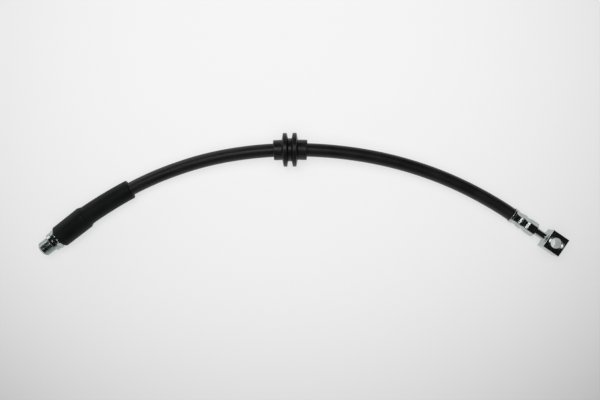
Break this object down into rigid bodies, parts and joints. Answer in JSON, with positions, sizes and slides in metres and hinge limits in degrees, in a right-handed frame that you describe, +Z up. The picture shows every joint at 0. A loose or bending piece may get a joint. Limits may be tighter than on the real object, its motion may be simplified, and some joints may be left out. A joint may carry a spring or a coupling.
{
  "type": "brake hose",
  "caption": "Curved rubber brake hose with a threaded male end in a stepped rubber sleeve, a bracket grommet and a crimped square banjo end.",
  "frame": {"origin": "on the surface that the hose lies on, under the middle of the box of its fittings, ferrules, sleeve and grommet", "axes": "+X from the male end towards the banjo end, +Y towards the outside of the bend, +Z up"},
  "size_m": [0.4129, 0.0961, 0.0264],
  "materials": {
    "hose_rubber": "satin black extruded rubber",
    "sleeve_rubber": "matt black moulded rubber",
    "grommet_rubber": "satin black moulded rubber",
    "plated_ferrule": "bright zinc plate on pressed steel",
    "plated_fitting": "bright zinc plate on turned steel"
  },
  "bodies": {
    "root": {"hose": "hose_rubber", "protective_sleeve": "sleeve_rubber", "grommet": "grommet_rubber", "male_ferrule": "plated_ferrule", "male_fitting": "plated_fitting", "banjo_ferrule": "plated_ferrule", "banjo_fitting": "plated_fitting"}
  },
  "joints": []
}
